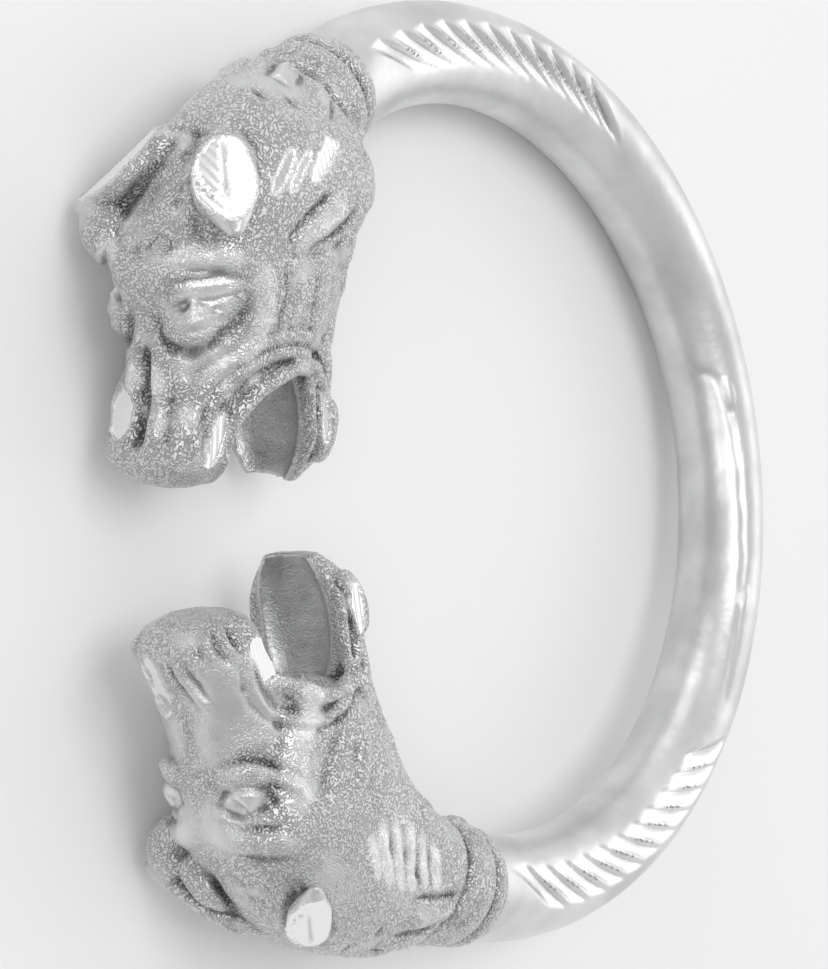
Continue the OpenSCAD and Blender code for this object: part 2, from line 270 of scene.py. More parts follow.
# Strokes of the chasing tool on both sides of a head: path of station and angle, half width,
# height (below 0 is a groove) and, where it shines, how much it is polished
BOTH_STROKES = (
    (((-0.57, 14), (-0.54, 33)), 0.4, -0.32),
    (((-0.59, 35), (-0.56, 52)), 0.4, -0.32),
    (((-0.64, 22), (-0.62, 40)), 0.3, -0.25),
    (((-0.92, 24), (-0.76, 23), (-0.62, 19)), 0.45, -0.3),
    (((-0.92, 46), (-0.78, 45), (-0.64, 42)), 0.45, -0.3),
    (((-0.90, 76), (-0.74, 72), (-0.60, 70)), 0.45, -0.3),
    (((-0.93, 35), (-0.80, 34), (-0.66, 30)), 0.5, 0.2, 0.15),
    (((-0.93, 61), (-0.80, 59), (-0.66, 56)), 0.5, 0.2, 0.15),
    (((-0.40, 104), (-0.26, 112), (-0.14, 124)), 0.5, 0.2),
    (((-0.46, 124), (-0.30, 134), (-0.14, 144)), 0.5, 0.2),
    (((0.0, 118), (0.12, 124), (0.24, 134)), 0.45, 0.2),
    (((0.02, 134), (0.14, 142), (0.24, 154)), 0.4, -0.2),
)

# Short slanting strokes side by side over the crown of the head in front
CROWN_HATCH = tuple((((-0.17 - 0.008 * k, 6 + 4.5 * k), (-0.32 - 0.01 * k, 5 + 4.5 * k)), 0.3, -0.26)
                    for k in range(8))

# All strokes on both sides of each head's body, in the order that the tool goes
STROKES = {
    "head_rear": BOTH_STROKES + (
        (((0.30, 0), (0.45, 0), (0.58, 0), (0.74, 0)), 0.9, -0.3),
        (((-0.46, 2), (-0.34, 2), (-0.20, 8)), 1.5, -0.4),
        (((-0.30, 12), (-0.18, 22), (-0.13, 34)), 0.8, -0.25),
        (((0.12, 14), (-0.02, 18), (-0.09, 30), (-0.10, 44), (-0.05, 60)), 2.4, 0.4),
        (((-0.01, 17), (-0.06, 25), (-0.075, 38), (-0.06, 55)), 1.1, 0.32, 0.5),
        (((-0.02, 17), (-0.02, 32), (-0.015, 52)), 0.4, -0.4),
        (((0.035, 19), (0.025, 38), (0.025, 56)), 0.35, -0.3),
        (((0.095, 23), (0.085, 41), (0.075, 57)), 1.2, 0.2, 0.4),
        (((0.085, 16), (0.08, 21)), 0.6, -0.3),
        (((0.14, 21), (0.13, 30), (0.12, 42), (0.09, 57)), 0.35, -0.35),
        (((0.165, 24), (0.15, 36), (0.12, 50)), 0.3, 0.16, 0.1),
        (((0.185, 24), (0.17, 36), (0.14, 50)), 0.3, -0.14),
        (((0.205, 25), (0.195, 36), (0.165, 50)), 0.3, 0.12),
        (((0.235, 26), (0.225, 36), (0.19, 50)), 0.3, -0.14),
        (((0.14, 7), (0.27, 13), (0.31, 26), (0.30, 38), (0.25, 50), (0.14, 60)), 0.9, -0.26),
        (((0.36, 24), (0.41, 36), (0.40, 50)), 2.0, -0.4),
        (((0.33, 0), (0.45, -1), (0.54, -2), (0.66, 0), (0.76, 3)), 0.5, -0.22),
        (((0.39, 6), (0.45, 9), (0.52, 12)), 1.1, 0.2, 0.6),
        (((0.44, 21), (0.58, 25), (0.76, 30)), 0.55, -0.24),
        (((0.53, 42), (0.585, 44), (0.64, 45)), 0.9, 0.25, 0.6),
        (((0.56, 56), (0.68, 58), (0.82, 60)), 0.5, -0.2),
        (((0.50, 68), (0.62, 72), (0.80, 74)), 0.4, -0.25),
        (((-0.04, 64), (0.05, 66), (0.18, 67), (0.30, 66), (0.38, 60)), 1.3, 0.24, 0.35),
        (((0.00, 76), (0.10, 77), (0.22, 76), (0.32, 78)), 0.3, -0.14),
        (((0.02, 82), (0.12, 84), (0.24, 84), (0.32, 88)), 0.35, 0.1, 0.1),
        (((0.04, 89), (0.14, 91), (0.24, 92), (0.32, 98)), 0.25, -0.13),
        (((0.02, 96), (0.12, 99), (0.22, 101), (0.30, 108)), 0.35, 0.1, 0.1),
        (((-0.07, 77), (-0.13, 82), (-0.20, 86), (-0.27, 88), (-0.33, 89)), 1.4, 0.36, 0.3),
        (((-0.07, 74), (-0.16, 76), (-0.26, 81), (-0.34, 85)), 0.4, -0.28),
        (((-0.06, 82), (-0.13, 92), (-0.22, 97), (-0.32, 95)), 0.4, -0.28),
        (((-0.12, 81), (-0.20, 86), (-0.27, 88)), 0.25, -0.16),
        (((-0.08, 72), (-0.03, 82), (-0.05, 96), (-0.13, 108)), 0.4, -0.15),
    ),
    "head_front": BOTH_STROKES + CROWN_HATCH + (
        (((0.30, 0), (0.45, 0), (0.58, 0), (0.74, 0)), 1.2, -0.1),
        (((0.07, 8), (-0.01, 18), (-0.04, 32), (-0.08, 52)), 1.3, 0.35, 0.15),
        (((0.06, 16), (0.045, 30), (0.0, 50)), 0.5, -0.2),
        (((-0.07, 14), (-0.09, 28), (-0.12, 44)), 0.9, -0.2),
        (((0.14, 14), (0.19, 20), (0.215, 29), (0.19, 39), (0.13, 46)), 0.35, -0.3),
        (((0.14, 14), (0.10, 22), (0.09, 32), (0.13, 46)), 0.35, -0.3),
        (((0.15, 19), (0.155, 29), (0.14, 40)), 1.2, 0.1, 0.35),
        (((0.25, 18), (0.27, 30), (0.24, 44), (0.16, 56), (0.09, 61)), 0.5, 0.3, 0.25),
        (((0.23, 38), (0.19, 47), (0.13, 54)), 0.3, -0.25),
        (((0.30, 24), (0.30, 36), (0.26, 49), (0.17, 61)), 0.35, -0.18),
        (((0.07, 20), (0.06, 32), (0.07, 44)), 0.4, 0.22, 0.1),
        (((0.80, 14), (0.75, 11), (0.68, 13), (0.60, 18), (0.52, 24)), 0.5, 0.3, 0.1),
        (((0.78, 5), (0.66, 5), (0.54, 12)), 0.6, -0.16),
        (((0.76, 20), (0.68, 20), (0.60, 25)), 0.4, -0.25),
        (((0.84, 36), (0.78, 38), (0.74, 46)), 0.4, -0.35),
        (((0.86, 48), (0.79, 50), (0.74, 58)), 0.4, 0.3, 0.1),
        (((0.87, 58), (0.79, 60), (0.73, 68)), 0.35, -0.4),
        (((0.87, 68), (0.79, 70), (0.73, 78)), 0.4, 0.3, 0.1),
        (((0.87, 78), (0.80, 80), (0.74, 86)), 0.35, -0.4),
        (((0.62, 60), (0.60, 68), (0.64, 74)), 0.4, -0.2),
        (((0.56, 96), (0.47, 88), (0.38, 72), (0.28, 60), (0.16, 55), (0.04, 55)), 1.6, 0.35, 0.42),
        (((0.54, 76), (0.46, 66), (0.36, 55)), 0.6, -0.25),
        (((0.42, 98), (0.30, 84), (0.18, 72), (0.08, 68)), 1.0, -0.2),
        (((0.32, 104), (0.20, 92), (0.06, 84)), 0.8, 0.25),
        (((-0.177, 81), (-0.282, 77), (-0.377, 72)), 0.5, 0.1, 0.75),
        (((-0.145, 87), (-0.303, 81), (-0.451, 73)), 0.65, 0.12, 0.75),
        (((-0.166, 90), (-0.356, 84), (-0.514, 74)), 0.55, 0.1, 0.75),
        (((-0.24, 92), (-0.43, 86), (-0.578, 74)), 0.65, 0.12, 0.75),
        (((-0.356, 93), (-0.525, 87), (-0.631, 76)), 0.55, 0.1, 0.75),
        (((-0.525, 94), (-0.62, 87), (-0.704, 76)), 0.6, 0.12, 0.75),
    ),
}

# Strokes on both sides of the lower jaw
JAW_STROKES = (
    (((0.52, 78), (0.64, 77), (0.78, 78), (0.92, 82)), 0.35, -0.25),
    (((0.40, 112), (0.58, 112), (0.74, 114)), 0.5, 0.2, 0.1),
    (((0.36, 126), (0.56, 126), (0.76, 126), (0.92, 128)), 0.35, -0.22),
    (((0.34, 144), (0.56, 144), (0.76, 144), (0.90, 146)), 0.5, 0.2),
)

# Scratches across the polished mane, on the side that faces up, and their half width, height and
# polish, which below 0 dulls what is polished
SCRATCHES = {
    "head_rear": (),
    "head_front": (((-0.24, 86), (-0.35, 82)), ((-0.34, 88), (-0.43, 84)), ((-0.50, 84), (-0.58, 79))),
}
SCRATCH = (0.3, -0.25, -1.0)

# What counts as a fine and as a wide hollow: rounds of smoothing and the depth of a full one, in mm
HOLLOWS = ((10, 0.05), (60, 0.2))

# How far a stroke or a boss runs out past its own half width, how far round it a stroke looks for
# the skin to lie on, in mm, and how much wider than its relief its polish is
TOOL_EDGE = 0.15
TOOL_LAYS = 1.2
TOOL_SHINES = 1.4

# What a flat chisel cut takes: from just under its plane to this far above it, in mm, where the
# skin faces the cut by at least this cosine
CUT_UNDER = 0.04
CUT_ABOVE = 2.5
CUT_FACING = 0.2

# Rings of folded skin round the corner of the mouth: distance out from the middle of the mouth,
# half width and height, in mm. Then where that middle is along and up from the head's root, and how
# much taller than long the rings are
MOUTH_FOLDS = {
    "head_rear": ((4.35, 0.4, -0.16), (4.95, 0.5, 0.15), (5.55, 0.3, -0.12), (6.15, 0.5, 0.1),
                  (6.8, 0.4, -0.08)),
    "head_front": ((4.35, 0.4, -0.22), (4.9, 0.45, 0.2), (5.4, 0.3, -0.16)),
}
MOUTH_MIDDLE = (11.6, 2.75)
MOUTH_TALL = 1.22

# Small bosses of each head: station, angle, radius and height
BOSSES = {
    "head_rear": ((-0.10, 8, 0.6, 0.4), (-0.02, 112, 1.2, 0.4)),
    "head_front": tuple((0.115 - 0.025 * (1 - (k / 4 - 1) ** 2), 15 + 3.4 * k, 0.3, 0.2) for k in range(9)),
}

# Chisel cuts that leave a flat mirror, on the body or the jaw: station, angle, how far they
# reach along and round it and how deep, in mm
CUTS = {
    "head_rear": (
        ("body", 0.61, -20, 1.9, 1.3, 0.25), ("body", 0.61, 20, 1.2, 0.5, 0.0),
        ("body", 0.69, 86, 2.1, 0.8, 0.1), ("body", 0.69, -86, 2.1, 0.8, 0.1),
        ("body", -0.37, 59, 2.1, 0.55, 0.1), ("body", -0.385, 67, 2.0, 0.5, 0.1),
        ("body", -0.47, 75, 2.8, 0.75, 0.12),
        ("jaw", 0.71, 87, 2.0, 0.7, -0.1), ("jaw", 0.71, -87, 2.0, 0.7, -0.1),
    ),
    "head_front": (
        ("body", 0.65, -14, 2.7, 1.0, 0.15), ("body", 0.69, 104, 2.0, 1.5, 0.2),
        ("body", 0.69, -104, 2.0, 1.5, 0.2),
        ("jaw", 0.78, 90, 2.4, 0.9, -0.1), ("jaw", 0.78, -90, 2.4, 0.9, -0.1),
    ),
}

# Smooth worn places of each head: station, angle and reach in mm
WORN = {
    "head_rear": ((0.05, 40, 2.6), (0.17, 34, 2.6), (0.39, 36, 2.2), (-0.62, 30, 3.0)),
    "head_front": ((0.60, 38, 4.2), (0.50, 52, 3.5), (0.42, 20, 3.0), (0.16, 28, 2.4), (0.06, 12, 3.0)),
}

# How thick the silver may be round the collar, from the bar to the neck: distance from the
# middle of the band towards the head and half thickness, in mm. The collar's own form starts at
# its root, inside the bar, and ends at its end, inside the neck
COLLAR_ROOT = (-3.75, 3.9)
COLLAR_TURNING = ((-3.6, 4.36), (-3.0, 4.5), (-2.6, 4.78), (-2.3, 4.82), (-1.95, 4.7), (-1.7, 4.36),
                  (-1.4, 4.8), (-0.8, 4.95), (0.0, 5.0), (0.8, 4.95), (1.4, 4.86), (1.75, 4.4),
                  (2.05, 4.55), (2.4, 5.2), (3.2, 5.9), (4.6, 8.0), (5.4, 12.0))
COLLAR_END = 2.2
COLLAR_SIDES = 72

# The oval bosses round the band: how far out of the bar's middle line, radius and height
COLLAR_BOSS_OUT = 5.0
COLLAR_BOSS = (0.85, 0.24)

# Unevenness of the cast heads and of the drawn bar: size of the waves, seed and height in mm, how
# much of it wear takes off a head, and how far in the bar's skin is pulled
HEAD_WAVES = (1.6, 3, 0.02)
HEAD_WAVES_WORN = 0.7
BAR_WAVES = ((9.0, 1, 0.025), (3.2, 2, 0.01))
BAR_PULLED_IN = 0.03

# How far the flutes lean from straight across the bar, in degrees, half the width of one as a
# share of the pitch, before it leans, and how far its floor rises from its middle to one edge and
# how soft its edges are, in mm
FLUTE_SLANT = 56
FLUTE_HALF = 0.42
FLUTE_TILT = 0.1
FLUTE_SOFT = 0.3

# The bar: how late it thickens towards the collars, as a power, its sides, how many rings half of
# it has behind the flutes, along them and from them to the collar, and how far its skin starts
# under the full thickness, in mm
BAR_SWELL = 1.5
BAR_SIDES = 112
BAR_RINGS = (100, 150, 16)
BAR_ROOM = 0.05

# The seam of the bar as angles along the hoop and round the bar in degrees, its half width and
# height, and two blisters of solder: the same two angles, how far they reach along and round the
# bar and how high they stand, in mm
SEAM = ((-7.5, -168), (-7.3, 166), (-6.0, 138), (-2.0, 128), (5.0, 122), (14.5, 118), (24.5, 113),
        (31.0, 110), (40.0, 106), (48.0, 100))
SEAM_STROKE = (0.55, -0.09)
BLISTERS = ((-2.6, 121, 1.5, 0.7, 0.16), (30.5, 106, 1.2, 0.6, 0.14))


# Helpers

def ease(t):
    """From 0 to 1 with a soft start and end"""
    t = np.clip(t, 0.0, 1.0)
    return t * t * (3 - 2 * t)


def unit(ways):
    """The same directions with a length of one"""
    return ways / np.linalg.norm(ways, axis=-1, keepdims=True)


def turned(u, v, degrees):
    """Two coordinates after a turn from the first axis towards the second"""
    a = np.radians(degrees)
    return u * np.cos(a) - v * np.sin(a), u * np.sin(a) + v * np.cos(a)


def hoop_way(angle):
    """The way out of the hoop at an angle from its back"""
    return np.array([math.sin(angle), math.cos(angle), 0])


class Sections:
    """A table of sections that is read smoothly at any station"""

    def __init__(self, rows):
        self.rows = np.array(rows)
        self.at = self.rows[:, 0]
        step = np.diff(self.rows, axis=0)
        slope = step / step[:, :1]
        before = slope[:-1]
        after = slope[1:]
        both = before * after
        total = np.where(both > 0, before + after, 1.0)
        inner = np.where(both > 0, 2 * both / total, 0.0)
        self.slope = np.vstack([slope[:1], inner, slope[-1:]])

    def read(self, station):
        place = np.clip(station, self.at[0], self.at[-1])
        i = np.clip(np.searchsorted(self.at, place) - 1, 0, len(self.at) - 2)
        width = (self.at[i + 1] - self.at[i])[..., None]
        t = (place - self.at[i])[..., None] / width
        rise = self.rows[i + 1] - self.rows[i]
        first = self.slope[i] * width
        last = self.slope[i + 1] * width
        return self.rows[i] + first * t + (3 * rise - 2 * first - last) * t ** 2 \
            + (first + last - 2 * rise) * t ** 3


BODY = Sections(BODY_ROWS)
JAW = Sections(JAW_ROWS)


class Shape:
    """The sizes that every operator works from, worked out once"""

    def __init__(self, scene):
        hoop = scene.kada_hoop
        head = scene.kada_head
        self.hoop = hoop
        self.head = head
        self.radius = (hoop.inner + hoop.back) / 2
        self.turn = 1 / self.radius
        self.root_angle = math.asin((hoop.gap / 2 + head.length) / self.radius)
        self.collar_angle = self.root_angle + head.neck * self.turn
        self.band = head.collar / 2 - COLLAR_BEAD
        self.reach = math.pi - self.collar_angle
        self.root = self.radius * np.array([math.sin(self.root_angle), -math.cos(self.root_angle), 0])

    def bar_thickness(self, angle):
        """How thick the bar is at an angle from the back of the hoop"""
        share = (np.abs(angle) / self.reach) ** BAR_SWELL
        return self.hoop.back + (self.hoop.root - self.hoop.back) * share

    def hoop_ring(self, angle, radius, sides):
        """A ring round the bar, at an angle from the back of the hoop"""
        b = np.arange(sides) * 2 * math.pi / sides
        out = hoop_way(angle)
        return self.radius * out + radius * (np.cos(b)[:, None] * out
                                             + np.sin(b)[:, None] * np.array([0, 0, 1]))


class Head:
    """One head: turns stations and angles into points in the hoop's own space"""

    def __init__(self, shape, name):
        self.shape = shape
        self.name = name
        self.side, self.pitch, self.yaw, self.rise, self.shift = HEADS[name]

    def grown(self, half, station):
        """A half width of the neck, which swells to the collar's band"""
        back = np.maximum(0, -station)
        return half + (self.shape.band - NECK_UNDER_BAND - half) * back ** NECK_SWELL

    def posed(self, p, weight):
        """Points of the head's own space after it is set on its neck"""
        x, y = turned(p[..., 0], p[..., 1], weight * self.pitch)
        x, z = turned(x, p[..., 2], weight * self.yaw)
        return np.stack([x, y + weight * self.rise, z + weight * self.shift], axis=-1)

    def own_way(self, way):
        """How directions of the hoop's space run along the snout, up and across"""
        zero = self.shape.root * np.array([self.side, 1, 1])
        return self.own(zero + way) - self.own(zero[None])

    def in_hoop(self, p):
        """From the head's own space, with its root at zero, to the hoop's"""
        q = self.shape.root + p * np.array([-1, -1, 1])
        return q * np.array([self.side, 1, 1])

    def point(self, table, station, angle, lift=0.0):
        """The place of a station and an angle on the skin, or lifted off it"""
        station, angle, lift = np.broadcast_arrays(
            np.asarray(station, float), np.asarray(angle, float), np.asarray(lift, float))
        shape = self.shape
        row = table.read(station)
        back = np.maximum(0, -station)
        a = shape.root_angle + back * shape.head.neck * shape.turn
        lean = a * ease(back / NECK_LEAN)
        x = np.where(back > 0, shape.radius * (math.sin(shape.root_angle) - np.sin(a)),
                     station * shape.head.length)
        y = np.where(back > 0, shape.radius * (np.cos(a) - math.cos(shape.root_angle)),
                     row[..., 1] * shape.head.height)
        turn = np.radians(angle)
        power = 2 / row[..., 5]
        c = np.sign(np.cos(turn)) * np.abs(np.cos(turn)) ** power
        s = np.sign(np.sin(turn)) * np.abs(np.sin(turn)) ** power
        tall = np.where(c > 0, row[..., 2], row[..., 3]) * shape.head.height
        tall = self.grown(tall, station) + lift
        wide = self.grown(row[..., 4] * shape.head.width, station) + lift
        p = np.stack([x - tall * c * np.sin(lean), y + tall * c * np.cos(lean), wide * s], axis=-1)
        weight = 1 - ease((back - NECK_SET_FROM) / NECK_SET_OVER)
        return self.in_hoop(self.posed(p, weight))

    def out(self, table, station, angle):
        """The way out of the skin at a place"""
        d = 0.004
        along = self.point(table, np.asarray(station) + d, angle) - self.point(
            table, np.asarray(station) - d, angle)
        around = self.point(table, station, np.asarray(angle) + 1) - self.point(
            table, station, np.asarray(angle) - 1)
        n = unit(np.cross(along, around))
        lifted = self.point(table, station, angle, 1.0) - self.point(table, station, angle)
        return n * np.sign(np.sum(n * lifted, axis=-1, keepdims=True))

    def own(self, co):
        """Where points of the hoop's space are along the snout, up and across"""
        p = (co * np.array([self.side, 1, 1]) - self.shape.root) * np.array([-1, -1, 1])
        p = p - np.array([0, self.rise, self.shift])
        x, z = turned(p[:, 0], p[:, 2], -self.yaw)
        x, y = turned(x, p[:, 1], -self.pitch)
        return np.stack([x, y, z], axis=1)

    def local(self, x, y, z):
        """A place given along the snout, up and across, in mm"""
        return self.in_hoop(self.posed(np.array([x, y, z]), 1.0))


def curve(points, steps):
    """A smooth line through chosen points"""
    p = np.array(points, float)
    p = np.vstack([2 * p[0] - p[1], p, 2 * p[-1] - p[-2]])
    t = (np.arange(steps) / steps)[:, None]
    line = []
    for a, b, c, d in zip(p[:-3], p[1:-2], p[2:-1], p[3:]):
        line.append(0.5 * (2 * b + (c - a) * t + (2 * a - 5 * b + 4 * c - d) * t ** 2
                           + (3 * b - a - 3 * c + d) * t ** 3))
    return np.vstack(line + [p[-2:-1]])


def nothing_selected():
    if bpy.context.object and bpy.context.object.mode != "OBJECT":
        bpy.ops.object.mode_set(mode="OBJECT")
    bpy.ops.object.select_all(action="DESELECT")


def only(piece):
    nothing_selected()
    piece.select_set(True)
    bpy.context.view_layer.objects.active = piece


def close_up(piece):
    """Merges doubles, fills the open ends and turns the faces outwards"""
    only(piece)
    bpy.ops.object.mode_set(mode="EDIT")
    bpy.ops.mesh.select_all(action="SELECT")
    bpy.ops.mesh.remove_doubles(threshold=0.0005)
    bpy.ops.mesh.fill_holes(sides=0)
    bpy.ops.mesh.select_all(action="SELECT")
    bpy.ops.mesh.normals_make_consistent(inside=False)
    bpy.ops.object.mode_set(mode="OBJECT")


def skin(name, rings):
    """A closed skin over a stack of rings that all have the same number of points"""
    rings = np.asarray(rings)
    count, sides = rings.shape[:2]
    nothing_selected()
    bpy.ops.mesh.primitive_grid_add(x_subdivisions=sides, y_subdivisions=count - 1, size=2)
    piece = bpy.context.active_object
    piece.name = name
    co = np.concatenate([rings, rings[:, :1]], axis=1)
    piece.data.vertices.foreach_set("co", co.astype(np.float32).ravel())
    close_up(piece)
    return piece


def tube(name, path, out, half_wide, half_high, sides=14, blunt=0.35):
    """A strand along a path, thin at both ends"""
    count = len(path)
    dirs = unit(np.gradient(path, axis=0))
    across = unit(np.cross(dirs, out))
    up = np.cross(across, dirs)
    b = np.arange(sides) * 2 * math.pi / sides
    grow = blunt + (1 - blunt) * np.sin(math.pi * np.arange(count) / (count - 1)) ** 0.7
    rings = []
    for i in range(count):
        rings.append(path[i] + grow[i] * (half_wide * np.cos(b)[:, None] * across[i]
                                          + half_high * np.sin(b)[:, None] * up[i]))
    return skin(name, rings)


def egg(name, centre, half, axes):
    """A rounded lump with its own three axes"""
    nothing_selected()
    bpy.ops.mesh.primitive_uv_sphere_add(segments=28, ring_count=18, radius=1)
    piece = bpy.context.active_object
    piece.name = name
    co = points_of(piece) * np.array(half)
    put_points(piece, co @ np.array(axes) + centre)
    close_up(piece)
    return piece


def points_of(piece):
    co = np.empty(len(piece.data.vertices) * 3, np.float32)
    piece.data.vertices.foreach_get("co", co)
    return co.reshape(-1, 3).astype(float)


def put_points(piece, co):
    piece.data.vertices.foreach_set("co", co.astype(np.float32).ravel())
    piece.data.update()


def ways_out(piece):
    n = np.empty(len(piece.data.vertices) * 3, np.float32)
    piece.data.vertex_normals.foreach_get("vector", n)
    return n.reshape(-1, 3).astype(float)


def apply_modifier(piece, kind, **settings):
    only(piece)
    modifier = piece.modifiers.new(kind.lower(), kind)
    for name, value in settings.items():
        setattr(modifier, name, value)
    bpy.ops.object.modifier_apply(modifier=modifier.name)


def cut_away(piece, cutter):
    apply_modifier(piece, "BOOLEAN", operation="DIFFERENCE", solver="EXACT", object=cutter)
    bpy.data.objects.remove(cutter)


def joined(name, pieces):
    nothing_selected()
    for piece in pieces:
        piece.select_set(True)
    bpy.context.view_layer.objects.active = pieces[0]
    bpy.ops.object.join()
    piece = bpy.context.active_object
    piece.name = name
    piece.data.name = name
    return piece


def add_attribute(piece, name, values):
    attribute = piece.data.attributes.new(name, "FLOAT", "POINT")
    attribute.data.foreach_set("value", np.asarray(values, np.float32))


def lay_down(piece):
    """From the hoop's own space in mm to where the part rests, in metres and not below the CAD"""
    piece.data.transform(Matrix.Scale(MM, 4) @ Matrix.Translation((0, 0, REST_LIFT)) @ REST_TURN)
    co = points_of(piece)
    co[:, 2] = np.maximum(co[:, 2], CAD_BOX[0][2])
    put_points(piece, co)


def finished(piece, material):
    """Gives a piece its material and its place, hangs it on the root and hides the CAD part"""
    only(piece)
    bpy.ops.object.shade_smooth()
    piece.data.materials.clear()
    piece.data.materials.append(material)
    lay_down(piece)
    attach(piece, "root")
    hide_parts("kada")


# Sculpting by moving the points of a head

class Clay:
    """The points of a sculpted piece, with the marks that its material reads"""

    def __init__(self, piece):
        self.piece = piece
        self.co = points_of(piece)
        self.out = ways_out(piece)
        self.polish = np.zeros(len(self.co))
        self.worn = np.zeros(len(self.co))
        edges = np.empty(len(piece.data.edges) * 2, np.int32)
        piece.data.edges.foreach_get("vertices", edges)
        self.a, self.b = edges.reshape(-1, 2).T
        self.count = np.bincount(self.a, minlength=len(self.co)) + np.bincount(
            self.b, minlength=len(self.co))

    def near(self, path, reach):
        """Which points are in the box round a path"""
        inside = np.all((self.co > path.min(0) - reach) & (self.co < path.max(0) + reach), axis=1)
        return np.flatnonzero(inside)

    def stroke(self, path, reach, height, polish=0.0, taper=1.2):
        """Raises or sinks the skin along a line, which is first laid on the skin"""
        around = self.co[self.near(path, reach + TOOL_LAYS)]
        path = np.array([around[np.argmin(np.sum((around - spot) ** 2, axis=1))] for spot in path])
        path = np.vstack([path[:1], (path[:-2] + path[1:-1] + path[2:]) / 3, path[-1:]])
        index = self.near(path, reach)
        p = self.co[index]
        steps = np.linalg.norm(np.diff(path, axis=0), axis=1)
        run = np.concatenate([[0], np.cumsum(steps)])
        best = np.full(len(index), 1e9)
        place = np.zeros(len(index))
        for i in range(len(steps)):
            d = path[i + 1] - path[i] + 1e-6
            t = np.clip((p - path[i]) @ d / (d @ d), 0, 1)
            gap = np.linalg.norm(p - path[i] - t[:, None] * d, axis=1)
            closer = gap < best
            best[closer] = gap[closer]
            place[closer] = (run[i] + t * steps[i])[closer]

        # A stroke thins to a quarter of its height at both ends
        ends = np.clip(np.minimum(place, run[-1] - place) / taper, 0, 1)
        share = np.clip(1 - (best / reach) ** 2, 0, 1) ** 2 * (0.25 + 0.75 * ends)
        self.co[index] += self.out[index] * (height * share)[:, None]
        if polish > 0:
            self.polish[index] = np.maximum(self.polish[index], polish * ease(share * TOOL_SHINES))
        if polish < 0:
            self.polish[index] *= 1 + polish * ease(share * TOOL_SHINES)

    def wear(self, centre, reach):
        """Marks the skin round a place as worn smooth"""
        gap = np.linalg.norm(self.co - centre, axis=1) / reach
        self.worn = np.maximum(self.worn, ease(1.6 * (1 - gap)))

    def boss(self, centre, reach, height):
        """Raises a round boss"""
        gap = np.linalg.norm(self.co - centre, axis=1) / reach
        index = np.flatnonzero(gap < 1)
        self.co[index] += self.out[index] * (height * np.sqrt(1 - gap[index] ** 2))[:, None]

    def shave(self, centre, facing, along, reach, depth, polish=1.0):
        """A flat chisel cut: what stands above or just under its plane comes to it"""
        gap = self.co - centre
        above = gap @ facing + depth
        along = unit(along - (along @ facing) * facing)
        across = np.cross(facing, along)
        far = np.hypot(gap @ along / reach[0], gap @ across / reach[1])
        hit = (above > -CUT_UNDER) & (above < CUT_ABOVE) & (far < 1) & (self.out @ facing > CUT_FACING)
        self.co[hit] -= above[hit][:, None] * facing
        self.polish[hit] = np.maximum(self.polish[hit], polish)

    def fold_round_mouth(self, head):
        """Rings of folded skin that follow the corner of the mouth on both cheeks"""
        p = head.own(self.co)
        u = p[:, 0] - MOUTH_MIDDLE[0]
        v = (p[:, 1] - MOUTH_MIDDLE[1]) / MOUTH_TALL
        far = np.where(u < 0, np.hypot(u, v), np.abs(v))

        # The folds fade towards the nose, the middle of the head and skin that faces up or down
        weight = ease((2.5 - u) / 3) * ease((np.abs(p[:, 2]) - 2.6) / 1.2)
        weight *= ease((np.abs(head.own_way(self.out)[:, 2]) - 0.25) / 0.3)
        lift = np.zeros(len(p))
        for place, half, height in MOUTH_FOLDS[head.name]:
            lift += height * np.clip(1 - ((far - place) / (half + 0.2)) ** 2, 0, 1) ** 2
        self.co += self.out * (lift * weight)[:, None]

    def turn_collar(self, head):
        """Turns the collar true: nothing stands out of its profile"""
        shape = head.shape
        angle = np.arctan2(self.co[:, 0] * head.side, -self.co[:, 1])
        along = (shape.collar_angle - angle) * shape.radius
        flat = np.hypot(self.co[:, 0], self.co[:, 1])
        aside = flat - shape.radius
        thick = np.hypot(aside, self.co[:, 2])
        places, limits = np.array(COLLAR_TURNING).T
        limit = np.interp(along, places, limits, right=99)
        share = np.minimum(1, limit / np.maximum(thick, 0.001))
        aside = aside * share
        grow = (shape.radius + aside) / flat
        self.co[:, 0] *= grow
        self.co[:, 1] *= grow
        self.co[:, 2] *= share

    def settle(self):
        """Puts the points back in the mesh and looks again which way the skin faces"""
        put_points(self.piece, self.co)
        self.out = ways_out(self.piece)

    def smoothed(self, values, rounds):
        """Values of the points after rounds of mixing with their neighbours"""
        for _ in range(rounds):
            total = np.stack([
                np.bincount(self.a, values[self.b, k], len(values))
                + np.bincount(self.b, values[self.a, k], len(values))
                for k in range(values.shape[1])], axis=1)
            values = 0.5 * values + 0.5 * total / self.count[:, None]
        return values

    def done(self):
        """Puts the points back and marks the hollows"""
        self.settle()
        hollow = 0
        for rounds, depth in HOLLOWS:
            sunk = np.sum((self.smoothed(self.co, rounds) - self.co) * self.out, axis=1)
            hollow = hollow + np.clip(sunk / depth, -1, 1) * 0.5
        hollow = self.smoothed(hollow[:, None], 2)[:, 0]
        add_attribute(self.piece, "hollow", hollow)
        add_attribute(self.piece, "polish", self.smoothed(self.polish[:, None], 1)[:, 0])
        add_attribute(self.piece, "worn", self.smoothed(self.worn[:, None], 4)[:, 0])


def grain(co, wave, seed):
    """Seeded, smooth unevenness with waves of about this length, mostly between -1 and 1"""
    rng = np.random.default_rng(seed)
    total = np.zeros(len(co))
    for _ in range(14):
        way = rng.normal(size=3)
        way *= 2 * math.pi / wave / np.linalg.norm(way) * rng.uniform(0.7, 1.4)
        total += np.sin(co @ way + rng.uniform(0, 2 * math.pi))
    return total / 5


# Pieces

